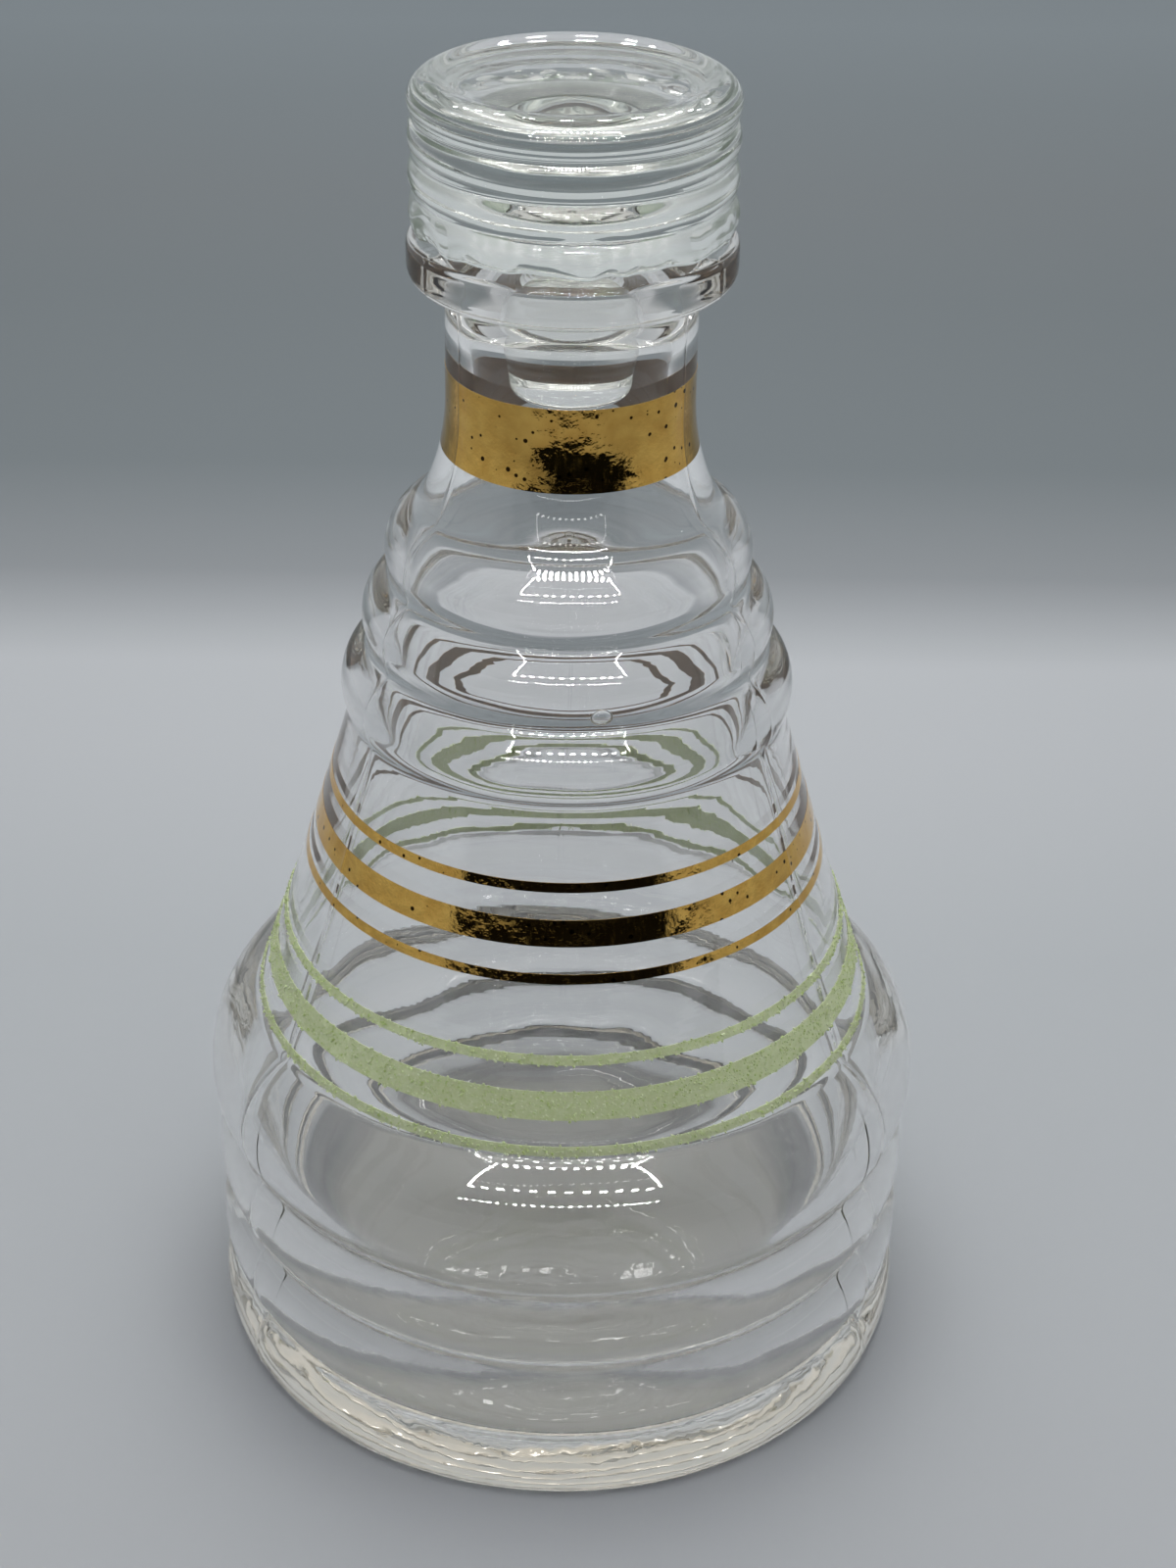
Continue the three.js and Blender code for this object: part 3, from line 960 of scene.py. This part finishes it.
def add_floor():
    bm = bmesh.new()
    level = Matrix.Translation((0, 0, -FLOOR_DROP * MM))
    bmesh.ops.create_circle(bm, cap_ends=True, segments=96, radius=FLOOR_RADIUS, matrix=level)
    floor = finished(bm, "floor", floor_material())
    floor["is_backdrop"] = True


def black_felt():
    """Black felt, matt, that mirrors nothing."""
    material, tree, output, _ = new_material("black_felt")
    black = linear("#101214")
    add_surface(tree, output, {"Base Color": black, "Roughness": 0.9, "Specular IOR Level": 0.0})
    return material


def add_card():
    """A black card in front, which shows only where the gilding and the glass mirror it."""
    bm = bmesh.new()
    middle = Vector((CARD_LEFT + CARD_RIGHT, CARD_NEAR + CARD_FAR, 0)) / 2 * MM
    size = Matrix.Diagonal(((CARD_RIGHT - CARD_LEFT) * MM, (CARD_NEAR - CARD_FAR) * MM, 1, 1))
    bmesh.ops.create_grid(
        bm, x_segments=1, y_segments=1, size=0.5, matrix=Matrix.Translation(middle) @ size
    )
    card = finished(bm, "card", black_felt())
    card.visible_camera = False
    card.visible_diffuse = False
    card.visible_transmission = False
    card.visible_shadow = False
    card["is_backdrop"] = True


def add_world():
    """A grey tent: paler behind than at the sides, palest overhead, and open in front, where the
    gilding mirrors black."""
    world = bpy.data.worlds.new("tent")
    world.use_nodes = True
    tree = world.node_tree
    tree.nodes.clear()
    coordinates = add(tree, "ShaderNodeTexCoord").outputs["Generated"]
    direction = add(tree, "ShaderNodeSeparateXYZ", {0: coordinates}).outputs
    soft = {"interpolation_type": "SMOOTHSTEP"}
    opening = mapped(tree, direction["Y"], *TENT_OPENING, 0.0, 1.0, **soft)
    behind = mapped(tree, direction["Y"], *TENT_BACK, 0.0, 1.0, **soft)
    overhead = mapped(tree, direction["Z"], *TENT_TOP, 0.0, 1.0, **soft)
    walls = mixed(tree, behind, linear("#b4b8bc"), linear("#c2c7cb"))
    tent = mixed(tree, overhead, walls, linear("#dadad8"))
    colour = mixed(tree, opening, linear("#101114"), tent)
    background = add(tree, "ShaderNodeBackground", {"Color": colour, "Strength": 1.0})
    output = add(tree, "ShaderNodeOutputWorld")
    tree.links.new(background.outputs["Background"], output.inputs["Surface"])
    bpy.context.scene.world = world


def add_area_lamp(name, centre, width, depth, energy):
    """A lamp that looks straight down, and its empty node tree."""
    data = bpy.data.lights.new(name, "AREA")
    data.shape = "RECTANGLE"
    data.size = width * MM
    data.size_y = depth * MM
    data.energy = energy
    data.use_nodes = True
    data.node_tree.nodes.clear()
    lamp = bpy.data.objects.new(name, data)
    lamp.location = Vector(centre) * MM
    lamp.visible_camera = False
    bpy.context.scene.collection.objects.link(lamp)
    return lamp, data.node_tree


def shine(tree, strength):
    glow = add(tree, "ShaderNodeEmission", {"Strength": strength})
    output = add(tree, "ShaderNodeOutputLight")
    tree.links.new(glow.outputs["Emission"], output.inputs["Surface"])


def place_on_lamp(tree):
    """Shares of the way across the lamp, along its width and its depth."""
    place = add(tree, "ShaderNodeNewGeometry").outputs["Parametric"]
    return add(tree, "ShaderNodeSeparateXYZ", {0: place}).outputs


def add_roof():
    """The soft roof of the tent, brightest in its middle and fading out to its edges."""
    lamp, tree = add_area_lamp("roof", ROOF_CENTRE, *ROOF_SIZE, ROOF_ENERGY)
    lamp.visible_glossy = False
    lamp.visible_transmission = False
    place = place_on_lamp(tree)
    fades = []
    for way in ("X", "Y"):
        turn = reckoned(tree, "MULTIPLY", place[way], math.pi)
        fades.append(reckoned(tree, "SINE", turn))
    both = reckoned(tree, "MULTIPLY", *fades)
    shine(tree, reckoned(tree, "MULTIPLY", both, ROOF_PEAK))


def add_dots(name, start, end, width, count=DOTS_PER_ROW):
    """A row of small bright lamps from corner to corner, which glass and gold mirror as dots."""
    way = Vector(end) - Vector(start)
    middle = (Vector(start) + Vector(end)) / 2
    centre = (middle.x, middle.y, FRAME_HEIGHT)
    energy = DOT_GLOW * way.length * width * MM**2
    lamp, tree = add_area_lamp(name, centre, way.length, width, energy)
    lamp.rotation_euler.z = math.atan2(way.y, way.x)
    lamp.visible_diffuse = False
    dots = reckoned(tree, "MULTIPLY", place_on_lamp(tree)["X"], float(count))
    share = reckoned(tree, "FRACT", dots)
    shine(tree, reckoned(tree, "LESS_THAN", share, DOT_SHARE))


def add_lamps():
    add_roof()
    front_left, front_right, back_right, back_left = FRAME_CORNERS
    add_dots("front_dots", front_left, front_right, ROW_WIDTH)
    add_dots("right_dots", front_right, back_right, SIDE_WIDTH)
    add_dots("back_dots", back_right, back_left, ROW_WIDTH)
    add_dots("left_dots", back_left, front_left, SIDE_WIDTH)
    add_dots("rear_dots", *REAR_ROW, REAR_WIDTH)
    add_dots("far_dots", *FAR_ROW, ROW_WIDTH, DOTS_IN_FAR_ROW)


# Putting the carafe together

def dress(piece, node, body):
    """The piece stands for the CAD node of that name and moves with its body."""
    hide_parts(node)
    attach(piece, body)


def add_carafe():
    bottle_glass = soda_lime_glass("soda_lime_glass_blown", "#dbcda8", 4.0, 0.01, blown=True)
    stopper_glass = soda_lime_glass("soda_lime_glass_pressed", "#a5bd90", 3.5, 0.006)
    ground = soda_lime_glass("soda_lime_glass_ground_seat", "#a5bd90", 3.5, 0.006, dulled=0.18)
    gold = bright_gold()
    # The back of the gilding is painted in shade
    back = painted_shade_gold_back()
    bed = green_glass_grit("green_enamel_bed", "#d5dfb2", "#e4ebca", 0.5)
    grains = green_glass_grit("green_glass_grit", "#bccf7c", "#f2f7e0", 0.5)
    dress(bottle(bottle_glass), "bottle", "bottle")
    dress(stopper(stopper_glass, ground), "stopper", "stopper")
    neck = gold_band("neck_gold_band", neck_radius, *NECK_GOLD, gold, back)
    dress(neck, "neck_gold_band", "bottle")
    for name, (low, high) in CONE_GOLD.items():
        dress(gold_band(name, cone_radius, low, high, gold, back), name, "bottle")
    draw = random.Random(11)
    for name, (low, high) in GREEN_GRIT.items():
        dress(grit_band(name, low, high, bed, grains, draw), name, "bottle")


add_camera()
add_floor()
add_card()
add_world()
add_lamps()
add_carafe()

scene = bpy.context.scene
scene.view_settings.view_transform = "Standard"
scene.cycles.max_bounces = BOUNCES
scene.cycles.transmission_bounces = BOUNCES
scene.cycles.glossy_bounces = BOUNCES

boxes = {"cad": cad_box, "visual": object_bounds()}
{name: [list(corner) for corner in box] for name, box in boxes.items()}
